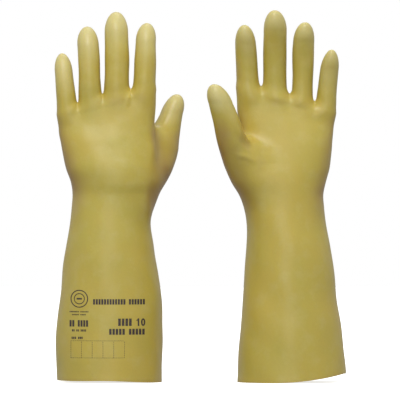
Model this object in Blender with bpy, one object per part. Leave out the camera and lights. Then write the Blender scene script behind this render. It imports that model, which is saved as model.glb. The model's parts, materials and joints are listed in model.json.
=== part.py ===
"""Pair of long dipped rubber insulating gloves, standing side by side on their cuffs.

Both gloves fit the left hand. Glove A turns the back of the hand to the front (-Y), and glove B,
half a turn round, the palm. Each glove is one seamless shell of rubber. It is divided here where
it bends: stiff stretches of the shell turn about hinges, and each band of rubber between two
stretches, which folds and stretches as they turn, is a node of its own.

A glove is drawn in its own frame: +U to the thumb's side, +V out of the palm and +Z up from the
rim. Units are metres, and the origin is on the ground at the middle of the pair.
"""

import math
from dataclasses import dataclass

import bmesh
import bpy
from mathutils import Vector

MM = 0.001

# Driving dimensions
WALL = 1.0 * MM  # thickness of the rubber
SPACING = 176.0 * MM  # from the middle of one glove to the middle of the other
RIM_WIDTH = 105.0 * MM  # across the opening
WRIST_WIDTH = 79.5 * MM
PALM_WIDTH = 92.0 * MM
CUFF_LENGTH = 170.0 * MM  # from the rim to the line that the wrist bends about
HAND_LENGTH = 118.0 * MM  # from that line to the root of the middle finger
FINGER_LENGTHS = {"index": 60.0 * MM, "middle": 73.0 * MM, "ring": 64.0 * MM, "little": 48.0 * MM}
THUMB_LENGTH = 90.0 * MM  # from its root inside the palm to its tip
FINGER_CURL = 13.0 * MM  # how far a fingertip leans out over the palm, for a finger of 60 mm
PALM_ABOVE_ROOT = 3.5 * MM  # from the root of the lowest finger to the top of the palm
FINGERTIP_DOME = 14.0 * MM
SEAM_GAP = 0.3 * MM  # between neighbouring stretches of the shell
BEND_CLEARANCE = 0.5 * MM  # left between two stiff stretches at the end of a bend

# How far each place bends, in degrees; the wrist bends as far backwards as forwards
WRIST_BEND = 30.0
KNUCKLE_BEND = 60.0
MIDDLE_BEND = 60.0
THUMB_ROOT_BEND = 35.0
THUMB_TIP_BEND = 50.0

# Where a finger runs on inside the palm: how far below its root, and how far it is moved towards
# the palm's middle line and widened there
FINGER_ROOTS = ((45.0 * MM, 0.85, 0.80), (10.0 * MM, 0.97, 1.10))
LOWER_SHARE = 0.38  # of what is left of a finger above its knuckle band, where its middle bends
THUMB_BENDS_AT = (0.42, 0.69)  # shares of the thumb's length
PALMWARD = (0.0, 1.0)
ACROSS_PALM = (-0.5, math.sqrt(0.75))  # the way that the thumb bends, over the palm

ARM_FACETS = 24
FINGER_FACETS = 14
CUFF_STEP = 28.0 * MM  # longest rise between two rings of facets
PALM_STEP = 14.0 * MM
FINGER_STEP = 12.0 * MM
DOME_RINGS = (0.40, 0.70, 0.90)  # heights of a dome's rings, as parts of its height
CUTTER_OVERRUN = 4.0 * MM  # how far a cutter runs past the face that it opens

RUBBER_COLOUR = (0.48, 0.39, 0.10, 1.0)
RUBBER_ROUGHNESS = 0.45


@dataclass(frozen=True)
class Section:
    """A level cut through a limb: its height, its middle, its half sizes and how square it is."""

    z: float
    u: float
    v: float
    width: float
    depth: float
    squareness: float = 2.0

    def ring(self, facets, inset=0.0):
        """The corners of the outline, taken in by inset."""
        corners = []
        for i in range(facets):
            angle = 2 * math.pi * i / facets
            across = rounded(math.cos(angle), self.squareness)
            out = rounded(math.sin(angle), self.squareness)
            corners.append(
                Vector(
                    (
                        self.u + (self.width - inset) * across,
                        self.v + (self.depth - inset) * out,
                        self.z,
                    )
                )
            )
        return corners


def rounded(share, squareness):
    """A circle's cosine or sine, pushed outwards for a squarer outline."""
    return math.copysign(abs(share) ** (2.0 / squareness), share)


class Limb:
    """A smooth form through a few sections, closed at its top by a dome."""

    def __init__(self, sections, dome, tip_shift=(0.0, 0.0)):
        self.sections = sections
        self.dome = dome
        self.tip_shift = tip_shift

    @property
    def dome_start(self):
        return self.sections[-1].z

    @property
    def top(self):
        return self.dome_start + self.dome

    def at(self, z, inset=0.0):
        """The section at a height. A dome that is taken in by inset is as much lower."""
        last = self.sections[-1]
        if z <= last.z:
            return self.between(z)
        share = min((z - last.z) / (self.dome - inset), 1.0)
        shrink = math.sqrt(1.0 - share * share)
        return Section(
            z,
            last.u + self.tip_shift[0] * share,
            last.v + self.tip_shift[1] * share,
            inset + (last.width - inset) * shrink,
            inset + (last.depth - inset) * shrink,
            last.squareness,
        )

    def between(self, z):
        """A cubic run between two sections, with the slope of their neighbours at each end."""
        cuts = self.sections
        i = max(j for j in range(len(cuts) - 1) if j == 0 or cuts[j].z <= z)
        low, high = cuts[i], cuts[i + 1]
        before, after = cuts[max(i - 1, 0)], cuts[min(i + 2, len(cuts) - 1)]
        span = high.z - low.z
        t = (z - low.z) / span

        def run(name):
            start, end = getattr(low, name), getattr(high, name)
            rise = (end - getattr(before, name)) / (high.z - before.z) * span
            fall = (getattr(after, name) - start) / (after.z - low.z) * span
            return (
                start * (2 * t**3 - 3 * t**2 + 1)
                + rise * (t**3 - 2 * t**2 + t)
                + end * (3 * t**2 - 2 * t**3)
                + fall * (t**3 - t**2)
            )

        return Section(z, *(run(name) for name in ("u", "v", "width", "depth", "squareness")))

    def rings(self, heights, facets, inset=0.0):
        return [self.at(z, inset).ring(facets, inset) for z in heights]

    def apex(self, inset=0.0):
        last = self.sections[-1]
        return Vector((last.u + self.tip_shift[0], last.v + self.tip_shift[1], self.top - inset))

    def heights(self, low, high, longest, inset=0.0):
        """Heights for rings from low to high; high None goes on up the dome, short of its apex."""
        straight_end = self.dome_start if high is None else high
        levels = [low]
        if straight_end > low:
            levels = steps(low, straight_end, longest)
        if high is None:
            dome = [self.dome_start + (self.dome - inset) * share for share in DOME_RINGS]
            levels += [z for z in dome if z > levels[-1] + SEAM_GAP]
        return levels

    def middle(self, z):
        cut = self.at(z)
        return Vector((cut.u, cut.v, z))


def steps(low, high, longest):
    """Evenly spaced heights from low to high, no further apart than longest."""
    count = math.ceil((high - low) / longest)
    return [low + (high - low) * i / count for i in range(count + 1)]


def skinned(rings, first=None, last=None, joined_ends=False):
    """A closed mesh through rings of corners.

    Each end is drawn to a point, or closed by a flat face, or the last ring is joined to the first.
    """
    shape = bmesh.new()
    loops = [[shape.verts.new(corner) for corner in ring] for ring in rings]
    neighbours = loops[1:] + loops[:1] if joined_ends else loops[1:]
    for low, high in zip(loops, neighbours):
        for i, corner in enumerate(low):
            after = (i + 1) % len(low)
            shape.faces.new((corner, low[after], high[after], high[i]))
    ends = [] if joined_ends else [(loops[0], first), (loops[-1], last)]
    for loop, point in ends:
        if point is None:
            shape.faces.new(loop)
            continue
        tip = shape.verts.new(point)
        for i, corner in enumerate(loop):
            shape.faces.new((corner, loop[(i + 1) % len(loop)], tip))
    bmesh.ops.recalc_face_normals(shape, faces=shape.faces)
    return shape


def tube(limb, low, high, facets, longest):
    """A stretch of the shell, open at both ends."""
    levels = limb.heights(low, high, longest)
    outer = limb.rings(levels, facets)
    inner = limb.rings(reversed(levels), facets, WALL)
    return skinned(outer + inner, joined_ends=True)


def cup(limb, low, facets, longest):
    """The shell from a height up to its closed end."""
    outer = limb.rings(limb.heights(low, None, longest), facets)
    inner = limb.rings(limb.heights(low, None, longest, WALL), facets, WALL)
    return skinned(outer[::-1] + inner, first=limb.apex(), last=limb.apex(WALL))


def plug(limb, low, high, facets, longest, inset=0.0):
    """A limb as a solid between two heights, or up to its top, taken in by inset."""
    rings = limb.rings(limb.heights(low, high, longest, inset), facets, inset)
    return skinned(rings, last=limb.apex(inset) if high is None else None)


@dataclass(frozen=True)
class Bend:
    """A place where the shell bends: its height on a limb, its way and how far it goes."""

    limb: Limb
    pivot: float
    way: tuple
    degrees: float

    @property
    def half(self):
        """Half the height of the band that folds, which the stiff walls beyond it just clear."""
        cut = self.limb.at(self.pivot)
        reach = math.hypot(cut.width * self.way[0], cut.depth * self.way[1])
        return reach * math.tan(math.radians(self.degrees / 2)) + BEND_CLEARANCE

    @property
    def low(self):
        return self.pivot - self.half

    @property
    def high(self):
        return self.pivot + self.half

    @property
    def centre(self):
        return self.limb.middle(self.pivot)

    def band(self, facets, longest):
        return tube(self.limb, self.low + SEAM_GAP, self.high - SEAM_GAP, facets, longest)


@dataclass(frozen=True)
class FingerStance:
    """How one finger of a glove stands: where it leaves the palm, and how it leans and tapers."""

    name: str
    across: float  # middle of its root, in palm widths from the palm's middle line
    breadth: float  # its width at the root, in palm widths
    rise: float  # height of its root above the wrist, in hand lengths
    sway: float  # millimetres that its tip stands to the thumb's side of its root
    taper: float  # its width at the tip, as a part of its width at the root


@dataclass(frozen=True)
class Stance:
    """How one glove stands.

    A row of the cuff or the hand is a height, as a part of the cuff's or the hand's length; the
    millimetres that its middle line swings to the thumb's side; how far its width has gone from
    the wrist's width to the rim's or the palm's; and its depth as a part of its width. A row of
    the thumb is a height, as a part of the thumb's length, and four sizes in millimetres: the
    middle line's U and V and the half width and half depth.
    """

    name: str
    turned: float
    cuff: tuple
    hand: tuple
    fingers: tuple
    thumb_rise: float
    thumb: tuple


GLOVE_A = Stance(
    name="glove_a",
    turned=0.0,
    cuff=(
        (0.00, 0.0, 0.92, 1.01),
        (0.24, 0.0, 1.00, 0.97),
        (0.47, 0.4, 0.81, 0.97),
        (0.74, -0.5, 0.35, 1.00),
        (0.92, 0.0, 0.01, 1.02),
    ),
    hand=(
        (0.03, 3.2, 0.05, 0.96),
        (0.15, 5.8, 0.47, 0.82),
        (0.29, 3.6, 0.90, 0.68),
        (0.42, -0.3, 1.05, 0.56),
        (0.55, -2.3, 1.05, 0.52),
        (0.68, -3.0, 1.10, 0.45),
    ),
    fingers=(
        FingerStance("index", 0.361, 0.252, 1.014, 2.7, 0.86),
        FingerStance("middle", 0.083, 0.272, 0.994, -1.6, 0.89),
        FingerStance("ring", -0.202, 0.252, 0.949, -3.6, 0.89),
        FingerStance("little", -0.454, 0.230, 0.863, -4.7, 0.82),
    ),
    thumb_rise=20.0,
    thumb=(
        (0.00, 34.0, 8.0, 13.0, 13.0),
        (0.16, 43.8, 18.0, 13.5, 13.5),
        (0.33, 49.9, 26.0, 13.5, 13.5),
        (0.50, 53.5, 31.0, 13.0, 13.0),
        (0.67, 57.0, 34.0, 12.2, 12.4),
        (0.84, 60.8, 37.0, 10.3, 10.8),
    ),
)

GLOVE_B = Stance(
    name="glove_b",
    turned=180.0,
    cuff=(
        (0.00, -0.2, 1.10, 0.97),
        (0.24, 0.3, 0.86, 0.99),
        (0.47, 0.8, 0.59, 0.99),
        (0.71, 1.1, 0.22, 1.02),
        (0.88, 3.4, -0.03, 1.04),
    ),
    hand=(
        (-0.04, 5.8, -0.10, 1.02),
        (0.09, 8.3, 0.00, 0.92),
        (0.22, 8.5, 0.60, 0.77),
        (0.42, 4.6, 0.75, 0.58),
        (0.55, 4.2, 0.88, 0.53),
        (0.68, 3.8, 1.10, 0.45),
    ),
    fingers=(
        FingerStance("index", 0.449, 0.243, 0.992, 3.9, 0.91),
        FingerStance("middle", 0.174, 0.263, 0.997, -0.3, 0.92),
        FingerStance("ring", -0.101, 0.259, 0.978, -4.7, 0.87),
        FingerStance("little", -0.366, 0.243, 0.892, -5.6, 0.80),
    ),
    thumb_rise=28.7,
    thumb=(
        (-0.06, 38.0, 10.0, 13.0, 13.0),
        (0.06, 47.5, 19.0, 14.5, 14.0),
        (0.24, 54.0, 26.0, 14.2, 13.8),
        (0.40, 58.9, 31.0, 14.0, 13.5),
        (0.57, 62.0, 34.5, 13.6, 13.2),
        (0.79, 68.0, 38.0, 11.6, 11.8),
        (0.87, 70.3, 38.8, 10.3, 10.9),
    ),
)


def arm_limb(stance):
    """The cuff, the wrist and the palm, without fingers, as one limb."""
    sections = []
    for start, length, end_width, rows in (
        (0.0, CUFF_LENGTH, RIM_WIDTH, stance.cuff),
        (CUFF_LENGTH, HAND_LENGTH, PALM_WIDTH, stance.hand),
    ):
        for height, swing, fullness, depth_share in rows:
            half_width = (WRIST_WIDTH + (end_width - WRIST_WIDTH) * fullness) / 2
            squareness = 2.0 if rows is stance.cuff else 2.0 + 0.7 * max(height, 0.0)
            sections.append(
                Section(
                    start + height * length,
                    swing * MM,
                    0.0,
                    half_width,
                    half_width * depth_share,
                    squareness,
                )
            )
    lowest_root = CUFF_LENGTH + HAND_LENGTH * min(finger.rise for finger in stance.fingers)
    return Limb(sections, lowest_root + PALM_ABOVE_ROOT - sections[-1].z)


def finger_limb(stance):
    """A finger that tapers and curls over the palm, from inside the palm to its tip."""
    length = FINGER_LENGTHS[stance.name]
    root_z = CUFF_LENGTH + HAND_LENGTH * stance.rise
    root_u = PALM_WIDTH * stance.across
    half_width = PALM_WIDTH * stance.breadth / 2
    curl = FINGER_CURL * length / FINGER_LENGTHS["index"]
    straight = length - FINGERTIP_DOME
    sections = [
        Section(root_z - drop, root_u * inwards, 0.0, half_width * flare, half_width * flare)
        for drop, inwards, flare in FINGER_ROOTS
    ]
    for share in (0.0, 0.5, 1.0):
        run = share * straight / length
        width = half_width * (1.0 + (stance.taper - 1.0) * share)
        sections.append(
            Section(
                root_z + share * straight,
                root_u + stance.sway * MM * run,
                curl * run**2,
                width,
                width * 1.05,
            )
        )
    last = straight / length
    tip_shift = (stance.sway * MM * (1.0 - last), curl * (1.0 - last**2))
    return Limb(sections, FINGERTIP_DOME, tip_shift)


def thumb_limb(stance):
    """The thumb, which leaves the palm low on its side and leans out over it."""
    root_z = CUFF_LENGTH + stance.thumb_rise * MM
    sections = [
        Section(root_z + height * THUMB_LENGTH, u * MM, v * MM, width * MM, depth * MM)
        for height, u, v, width, depth in stance.thumb
    ]
    dome = root_z + THUMB_LENGTH - sections[-1].z
    return Limb(sections, dome, (4.0 * MM, 2.0 * MM))


@dataclass(frozen=True)
class Digit:
    """A finger or the thumb, with the places where it bends at its root and in its middle."""

    name: str
    limb: Limb
    root: Bend
    middle: Bend

    @classmethod
    def finger(cls, stance):
        limb = finger_limb(stance)
        leaves_palm = CUFF_LENGTH + HAND_LENGTH * stance.rise
        knuckle = Bend(limb, leaves_palm, PALMWARD, KNUCKLE_BEND)
        knuckle = Bend(limb, leaves_palm + knuckle.half, PALMWARD, KNUCKLE_BEND)
        middle = knuckle.high + (limb.top - knuckle.high) * LOWER_SHARE
        return cls(stance.name, limb, knuckle, Bend(limb, middle, PALMWARD, MIDDLE_BEND))

    @classmethod
    def thumb(cls, stance):
        limb = thumb_limb(stance)
        root_z = limb.top - THUMB_LENGTH
        root, middle = (
            Bend(limb, root_z + share * THUMB_LENGTH, ACROSS_PALM, degrees)
            for share, degrees in zip(THUMB_BENDS_AT, (THUMB_ROOT_BEND, THUMB_TIP_BEND))
        )
        return cls("thumb", limb, root, middle)

    def stub(self, inset=0.0):
        """The solid that joins the digit to the palm, or with an inset the bore through it."""
        overrun = CUTTER_OVERRUN if inset else 0.0
        bottom = self.limb.sections[0].z
        return plug(self.limb, bottom, self.root.low + overrun, FINGER_FACETS, FINGER_STEP, inset)


class Body:
    """What moves as one: an empty on the line that it turns about, and the pieces it carries."""

    def __init__(self, name, place, collection, carrier=None):
        self.place = place
        self.collection = collection
        self.empty = bpy.data.objects.new(name, None)
        self.empty.empty_display_size = 10 * MM
        collection.objects.link(self.empty)
        if carrier:
            self.empty.parent = carrier.empty
            self.empty.location = place - carrier.place

    def add(self, name, shape):
        """A piece drawn in the glove's frame, carried by this body and made of rubber."""
        piece = self.hang(name, shape, self.collection)
        piece.data.materials.append(rubber(name))
        return piece

    def hang(self, name, shape, collection):
        bmesh.ops.translate(shape, vec=-self.place, verts=shape.verts)
        mesh = bpy.data.meshes.new(name)
        shape.to_mesh(mesh)
        shape.free()
        mesh.shade_smooth()
        mesh.set_sharp_from_angle(angle=math.radians(50))
        piece = bpy.data.objects.new(name, mesh)
        collection.objects.link(piece)
        piece.parent = self.empty
        return piece


def rubber(name):
    """A plain satin rubber, one for each piece."""
    material = bpy.data.materials.new(name + "_rubber")
    material.use_nodes = True
    shader = material.node_tree.nodes["Principled BSDF"]
    shader.inputs["Base Color"].default_value = RUBBER_COLOUR
    shader.inputs["Roughness"].default_value = RUBBER_ROUGHNESS
    shader.inputs["Metallic"].default_value = 0.0
    return material


def combine(piece, other, operation):
    """Joins another solid to a piece, or cuts it away."""
    other.hide_render = True
    other.display_type = "WIRE"
    step = piece.modifiers.new(other.name, "BOOLEAN")
    step.operation = operation
    step.solver = "EXACT"
    step.object = other


def add_palm(name, hand, arm, wrist, digits, cutters):
    """The shell of the hand, open at the wrist and at the root of each digit."""
    palm = hand.add(f"{name}_palm", plug(arm, wrist.high, None, ARM_FACETS, PALM_STEP))
    for digit in digits:
        stub = hand.hang(f"{name}_{digit.name}_stub", digit.stub(), cutters)
        combine(palm, stub, "UNION")
    hollow = plug(arm, wrist.high - CUTTER_OVERRUN, None, ARM_FACETS, PALM_STEP, WALL)
    combine(palm, hand.hang(f"{name}_hollow", hollow, cutters), "DIFFERENCE")
    for digit in digits:
        bore = hand.hang(f"{name}_{digit.name}_bore", digit.stub(WALL), cutters)
        combine(palm, bore, "DIFFERENCE")


def add_digit(name, hand, digit):
    """The shells of a digit beyond the palm, each on the body that carries it."""
    limb, size = digit.limb, (FINGER_FACETS, FINGER_STEP)
    root_name = "base" if digit.name == "thumb" else "knuckle"
    hand.add(f"{name}_{digit.name}_{root_name}_flex", digit.root.band(*size))
    lower = Body(f"{name}_{digit.name}_{root_name}", digit.root.centre, hand.collection, hand)
    stretch = tube(limb, digit.root.high, digit.middle.low, *size)
    lower.add(f"{name}_{digit.name}_lower", stretch)
    lower.add(f"{name}_{digit.name}_joint_flex", digit.middle.band(*size))
    tip = Body(f"{name}_{digit.name}_joint", digit.middle.centre, hand.collection, lower)
    tip.add(f"{name}_{digit.name}_tip", cup(limb, digit.middle.high, *size))


def add_glove(stance, parts, cutters):
    """One glove, upright on its rim; returns the body that carries all of it."""
    name = stance.name
    arm = arm_limb(stance)
    wrist = Bend(arm, CUFF_LENGTH, PALMWARD, WRIST_BEND)
    cuff = Body(f"{name}_cuff", Vector(), parts)
    cuff.add(f"{name}_gauntlet", tube(arm, 0.0, wrist.low, ARM_FACETS, CUFF_STEP))
    cuff.add(f"{name}_wrist_flex", wrist.band(ARM_FACETS, CUFF_STEP))
    hand = Body(f"{name}_wrist", wrist.centre, parts, cuff)
    digits = [Digit.finger(finger) for finger in stance.fingers] + [Digit.thumb(stance)]
    add_palm(name, hand, arm, wrist, digits, cutters)
    for digit in digits:
        add_digit(name, hand, digit)
    return cuff


def width_of(parts):
    """The least and the greatest X of all the meshes in a collection."""
    bpy.context.view_layer.update()
    places = [
        (piece.matrix_world @ corner.co).x
        for piece in parts.objects
        if piece.type == "MESH"
        for corner in piece.data.vertices
    ]
    return min(places), max(places)


def main():
    for old in list(bpy.data.objects):
        bpy.data.objects.remove(old, do_unlink=True)
    parts = bpy.data.collections.new("insulating_gloves")
    cutters = bpy.data.collections.new("cutters")
    for collection in (parts, cutters):
        bpy.context.scene.collection.children.link(collection)
    cuffs = []
    for stance, side in ((GLOVE_A, -1), (GLOVE_B, 1)):
        cuff = add_glove(stance, parts, cutters)
        cuff.empty.rotation_euler.z = math.radians(stance.turned)
        cuff.empty.location.x = side * SPACING / 2
        cuffs.append(cuff)
    off_centre = sum(width_of(parts)) / 2
    for cuff in cuffs:
        cuff.empty.location.x -= off_centre
    bpy.context.view_layer.update()


if __name__ == "__main__":
    main()
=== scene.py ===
"""A pair of long natural rubber insulating gloves, standing on their cuffs on a pale floor.

Each glove is one seamless dipped skin. It is grown as a single smooth form from the sections of the
rigid model, given the webs, pads and creases that dipped rubber has, and then divided only where
its rubber bends, so that neighbouring pieces share their border and their shading.
"""

import json
import logging
import math
from dataclasses import dataclass, field
from enum import Enum
from functools import cache
from typing import Any, Callable, Sequence

import bpy
import numpy as np
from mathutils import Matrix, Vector
from mathutils.bvhtree import BVHTree


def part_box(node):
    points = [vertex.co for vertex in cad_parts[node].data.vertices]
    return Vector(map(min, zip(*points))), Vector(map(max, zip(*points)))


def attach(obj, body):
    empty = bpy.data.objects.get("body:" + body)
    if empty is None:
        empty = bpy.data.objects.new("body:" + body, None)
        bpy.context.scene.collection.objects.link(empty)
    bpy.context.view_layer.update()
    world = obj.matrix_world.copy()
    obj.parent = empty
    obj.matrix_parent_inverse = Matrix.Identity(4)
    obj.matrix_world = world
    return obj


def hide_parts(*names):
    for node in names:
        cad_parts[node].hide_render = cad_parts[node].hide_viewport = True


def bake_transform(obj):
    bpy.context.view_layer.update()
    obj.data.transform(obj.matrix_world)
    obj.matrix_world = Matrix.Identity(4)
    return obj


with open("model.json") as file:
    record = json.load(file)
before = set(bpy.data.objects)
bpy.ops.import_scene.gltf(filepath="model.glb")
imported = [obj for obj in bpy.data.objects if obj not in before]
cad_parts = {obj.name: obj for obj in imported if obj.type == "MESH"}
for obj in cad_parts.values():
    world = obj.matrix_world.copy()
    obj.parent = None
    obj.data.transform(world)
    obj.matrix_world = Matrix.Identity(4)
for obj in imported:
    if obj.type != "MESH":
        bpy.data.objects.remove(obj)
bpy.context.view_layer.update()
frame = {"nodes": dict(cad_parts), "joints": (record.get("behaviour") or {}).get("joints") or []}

LOG = logging.getLogger("gloves")
MM = 0.001


# --- Smooth curves and forms ---


def smooth_steps(values: np.ndarray, low: float, high: float) -> np.ndarray:
    """A soft rise from 0 at low to 1 at high."""
    share = np.clip((values - low) / (high - low), 0.0, 1.0)
    return share * share * (3.0 - 2.0 * share)


def through(stations: np.ndarray, values: np.ndarray, places: np.ndarray) -> np.ndarray:
    """A smooth curve through values at stations, read at places.

    Args:
        stations: Rising places along the curve.
        values: The curve's value at each station.
        places: Where to read it; beyond the ends it runs on straight.

    Returns:
        The curve's value at each place.
    """
    slopes = np.gradient(values, stations)
    inside = np.clip(places, stations[0], stations[-1])
    i = np.clip(np.searchsorted(stations, inside, side="right") - 1, 0, len(stations) - 2)
    span = stations[i + 1] - stations[i]
    t = (inside - stations[i]) / span
    curve = (
        values[i] * (2 * t**3 - 3 * t**2 + 1)
        + slopes[i] * span * (t**3 - 2 * t**2 + t)
        + values[i + 1] * (3 * t**2 - 2 * t**3)
        + slopes[i + 1] * span * (t**3 - t**2)
    )
    ends = np.where(places < stations[0], slopes[0], slopes[-1])
    return curve + (places - inside) * ends


def merge(first: np.ndarray, second: np.ndarray, softness: float) -> np.ndarray:
    """Two forms run together with a fillet of about the given softness.

    Args:
        first: Distances to one form.
        second: Distances to the other.
        softness: How wide the fillet is.

    Returns:
        Distances to the two forms together.
    """
    share = np.clip(0.5 + 0.5 * (second - first) / softness, 0.0, 1.0)
    fillet = softness * share * (1.0 - share)
    return second + (first - second) * share - fillet


@dataclass
class Limb:
    """A rounded limb: level sections up its length, closed at the top by a dome.

    Rows of sections hold a height, the middle's U and V, the half width, the half depth and the
    squareness, which is 2 for an ellipse.
    """

    sections: np.ndarray
    dome: float
    tip_shift: tuple[float, float] = (0.0, 0.0)
    root_round: float = 0.0  # 0 leaves the limb open below
    lean: float = 0.0  # how much higher the top is, for each metre towards the thumb

    @property
    def dome_start(self) -> float:
        """Height at which the dome begins."""
        return float(self.sections[-1, 0])

    @property
    def top(self) -> float:
        """Height of the dome's apex."""
        return self.dome_start + self.dome

    def at(self, heights: np.ndarray) -> list[np.ndarray]:
        """The middle's U and V, the half sizes and the squareness at some heights.

        Args:
            heights: Levels to read.

        Returns:
            An array of each, in that order.
        """
        z = self.sections[:, 0]
        level = np.minimum(heights, self.dome_start)
        if self.root_round:
            level = np.maximum(level, z[0])
        rows = [through(z, self.sections[:, i], level) for i in range(1, 6)]
        up = np.clip((heights - self.dome_start) / self.dome, 0.0, 1.0)
        rows[0] = rows[0] + self.tip_shift[0] * up
        rows[1] = rows[1] + self.tip_shift[1] * up
        return rows

    def distance(self, u: np.ndarray, v: np.ndarray, z: np.ndarray) -> np.ndarray:
        """How far points lie outside the limb; negative inside it.

        Args:
            u: Place across the glove, towards the thumb.
            v: Place out of the palm.
            z: Height above the rim.

        Returns:
            The distance to the surface, true near it and rough far from it.
        """
        if self.lean:
            lowest = self.dome_start - 40.0 * MM
            z = z - self.lean * u * smooth_steps(z, lowest, self.dome_start)
        middle_u, middle_v, width, depth, square = self.at(z)
        a = (u - middle_u) / width
        b = (v - middle_v) / depth
        reach = self.dome
        c = np.maximum(z - self.dome_start, 0.0) / reach
        if self.root_round:
            low = self.sections[0, 0]
            reach = np.where(z < low, self.root_round, self.dome)
            c = c + np.maximum(low - z, 0.0) / self.root_round
        flat = (np.abs(a) ** square + np.abs(b) ** square) ** (1.0 / square)
        flat = np.maximum(flat, 1e-4)
        full = np.sqrt(flat**2 + c**2)
        lean = flat / full
        slope_u = (np.abs(a) / flat) ** (square - 1.0) / width * lean
        slope_v = (np.abs(b) / flat) ** (square - 1.0) / depth * lean
        slope = np.sqrt(slope_u**2 + slope_v**2 + (c / full / reach) ** 2)
        floor = 0.4 / np.maximum(width, depth)
        return (full - 1.0) / np.maximum(slope, floor)


@dataclass(frozen=True)
class Crease:
    """A ridge or a groove in the skin, drawn on one side of the hand.

    Points are U and Z in millimetres, measured in the glove's own frame. A positive height is a
    ridge. The crease fades to nothing at both ends.
    """

    points: tuple[tuple[float, float], ...]
    height: float
    half_width: float
    palm_side: bool

    def raise_by(self, places: np.ndarray, normals: np.ndarray) -> np.ndarray:
        """How far the crease lifts the skin at some places.

        Args:
            places: Points on the skin, in the glove's frame.
            normals: The skin's normals there.

        Returns:
            The lift along the normal, in metres.
        """
        route = np.array(self.points) * MM
        flat = places[:, (0, 2)]
        lengths = np.linalg.norm(np.diff(route, axis=0), axis=1)
        before = np.concatenate(([0.0], np.cumsum(lengths)))
        nearest = np.full(len(flat), 1.0)
        along = np.zeros(len(flat))
        for i, length in enumerate(lengths):
            way = (route[i + 1] - route[i]) / length
            run = np.clip((flat - route[i]) @ way, 0.0, length)
            gap = np.linalg.norm(flat - route[i] - run[:, None] * way, axis=1)
            closer = gap < nearest
            nearest = np.where(closer, gap, nearest)
            along = np.where(closer, (before[i] + run) / before[-1], along)
        side = 1.0 if self.palm_side else -1.0
        seen = smooth_steps(normals[:, 1] * side, 0.0, 0.5)
        fade = np.sin(np.pi * np.clip(along, 0.04, 0.96)) ** 0.7
        return self.height * MM * fade * seen * np.exp(-((nearest / (self.half_width * MM)) ** 2))


@dataclass(frozen=True)
class Patch:
    """A soft-edged oval on one side of the hand, in millimetres, and how strong it is."""

    middle: tuple[float, float]
    reach: tuple[float, float]
    strength: float
    palm_side: bool

    def over(self, places: np.ndarray, normals: np.ndarray, edge: float, full: float) -> np.ndarray:
        """How strong the patch is at some places.

        Args:
            places: Points on the skin, in the glove's frame.
            normals: The skin's normals there.
            edge: How much a normal faces the patch's side where the patch begins.
            full: And where it is whole.

        Returns:
            The patch's strength at each place.
        """
        off_u = (places[:, 0] / MM - self.middle[0]) / self.reach[0]
        off_z = (places[:, 2] / MM - self.middle[1]) / self.reach[1]
        side = 1.0 if self.palm_side else -1.0
        seen = smooth_steps(normals[:, 1] * side, edge, full)
        return self.strength * seen * np.exp(-(off_u**2 + off_z**2))


class Pad(Patch):
    """A soft swelling of the skin, or a hollow; its strength is its height in millimetres."""

    def raise_by(self, places: np.ndarray, normals: np.ndarray) -> np.ndarray:
        """How far the pad lifts the skin at some places, given the normals there."""
        return MM * self.over(places, normals, -0.1, 0.6)


class ShadePatch(Patch):
    """A patch of painted shade, where the rubber is browner."""

    def tone(self, places: np.ndarray, normals: np.ndarray) -> np.ndarray:
        """How much browner the painted shade makes the rubber at some places, given the normals
        there.
        """
        return self.over(places, normals, -0.5, 0.2)


@dataclass(frozen=True)
class Unevenness:
    """The slow waves that hand dipping leaves in rubber: a sum of a few long ripples."""

    seed: int
    amplitude: float
    longest: float
    shortest: float
    ripples: int = 14

    def raise_by(self, places: np.ndarray) -> np.ndarray:
        """The lift of the skin at some places, in metres.

        Args:
            places: Points on the skin, in the glove's frame.

        Returns:
            The lift along the normal.
        """
        random = np.random.default_rng(self.seed)
        lift = np.zeros(len(places))
        for _ in range(self.ripples):
            way = random.normal(size=3)
            way /= np.linalg.norm(way)
            length = random.uniform(self.shortest, self.longest) * MM
            phase = random.uniform(0.0, 2.0 * math.pi)
            lift += np.sin(places @ way * (2.0 * math.pi / length) + phase)
        return lift * self.amplitude * MM / math.sqrt(self.ripples)


# --- A skin grown over a form ---


@dataclass
class Skin:
    """A sheet of quads: its points, its normals and, for each quad, four point numbers."""

    points: np.ndarray
    quads: np.ndarray
    normals: np.ndarray = field(default_factory=lambda: np.zeros((0, 3)))

    def find_normals(self) -> None:
        """Works out each point's normal from the faces round it, weighted by their area."""
        a, b, c, d = (self.points[self.quads[:, i]] for i in range(4))
        face = np.cross(c - a, d - b)
        total = np.zeros_like(self.points)
        for i in range(4):
            np.add.at(total, self.quads[:, i], face)
        self.normals = total / np.maximum(np.linalg.norm(total, axis=1), 1e-12)[:, None]

    def lift(self, by: np.ndarray) -> None:
        """Moves each point along its normal and works out the normals again."""
        self.points = self.points + self.normals * by[:, None]
        self.find_normals()

    def keep(self, chosen: np.ndarray) -> None:
        """Keeps only the chosen quads and the points that they use.

        Args:
            chosen: Whether each quad is kept.
        """
        used, self.quads = np.unique(self.quads[chosen], return_inverse=True)
        self.quads = self.quads.reshape(-1, 4)
        self.points = self.points[used]

    def middles(self) -> np.ndarray:
        """The middle of each quad."""
        return self.points[self.quads].mean(axis=1)

    def even_out(self, rounds: int, held: np.ndarray) -> None:
        """Draws each point towards its neighbours' middle, to make the quads even.

        Args:
            rounds: How many times.
            held: The points that stay where they are.
        """
        ends = np.concatenate([self.quads[:, (i, (i + 1) % 4)] for i in range(4)])
        count = np.bincount(ends.ravel(), minlength=len(self.points))[:, None]
        for _ in range(rounds):
            total = np.zeros_like(self.points)
            np.add.at(total, ends[:, 0], self.points[ends[:, 1]])
            np.add.at(total, ends[:, 1], self.points[ends[:, 0]])
            moved = 0.5 * self.points + 0.5 * total / count
            self.points = np.where(held[:, None], self.points, moved)


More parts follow.
